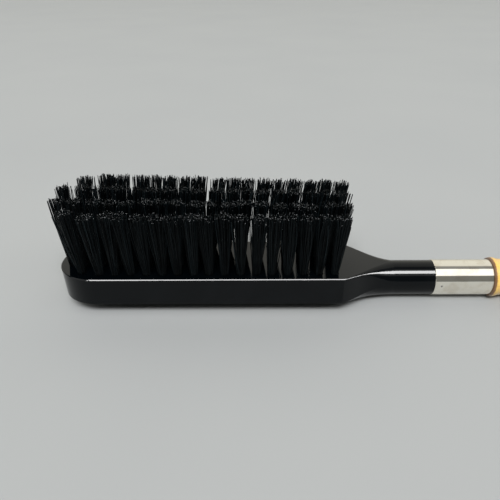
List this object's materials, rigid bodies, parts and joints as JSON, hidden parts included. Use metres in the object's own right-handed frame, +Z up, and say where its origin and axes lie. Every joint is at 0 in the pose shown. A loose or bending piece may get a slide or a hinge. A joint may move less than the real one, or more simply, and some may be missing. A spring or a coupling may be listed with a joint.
{
  "type": "clothes brush",
  "caption": "Clothes brush: black lacquered board with a rounded end, set with black bristle tufts, on a round neck joined to a bamboo handle by a plain metal ferrule.",
  "frame": {"origin": "middle of the flat land on the back of the head, where the brush rests", "axes": "+X along the handle away from the head, +Y across the head, +Z up through the bristles"},
  "size_m": [0.333, 0.0505, 0.0565],
  "materials": {
    "black_lacquer": "gloss black lacquer on wood",
    "black_bristle": "stiff black filament, satin",
    "staple_wire": "flat steel wire",
    "nickel_plate": "bright nickel plate, lightly worn",
    "pin_steel": "dull steel",
    "plain_wood": "bare hardwood",
    "bamboo": "polished golden bamboo, burnt at the cut edge"
  },
  "bodies": {
    "root": {"brush_board": "black_lacquer", "tuft_staples": "staple_wire", "bristle_column_01": "black_bristle", "bristle_column_02": "black_bristle", "bristle_column_03": "black_bristle", "bristle_column_04": "black_bristle", "bristle_column_05": "black_bristle", "bristle_column_06": "black_bristle", "bristle_column_07": "black_bristle", "bristle_column_08": "black_bristle", "bristle_column_09": "black_bristle", "bristle_column_10": "black_bristle", "bristle_column_11": "black_bristle", "bristle_column_12": "black_bristle", "bristle_column_13": "black_bristle", "bristle_column_14": "black_bristle", "bristle_column_15": "black_bristle", "bristle_column_16": "black_bristle", "bristle_column_17": "black_bristle", "bristle_column_18": "black_bristle", "ferrule": "nickel_plate", "ferrule_pins": "pin_steel", "joint_dowel": "plain_wood", "bamboo_handle": "bamboo"}
  },
  "joints": []
}
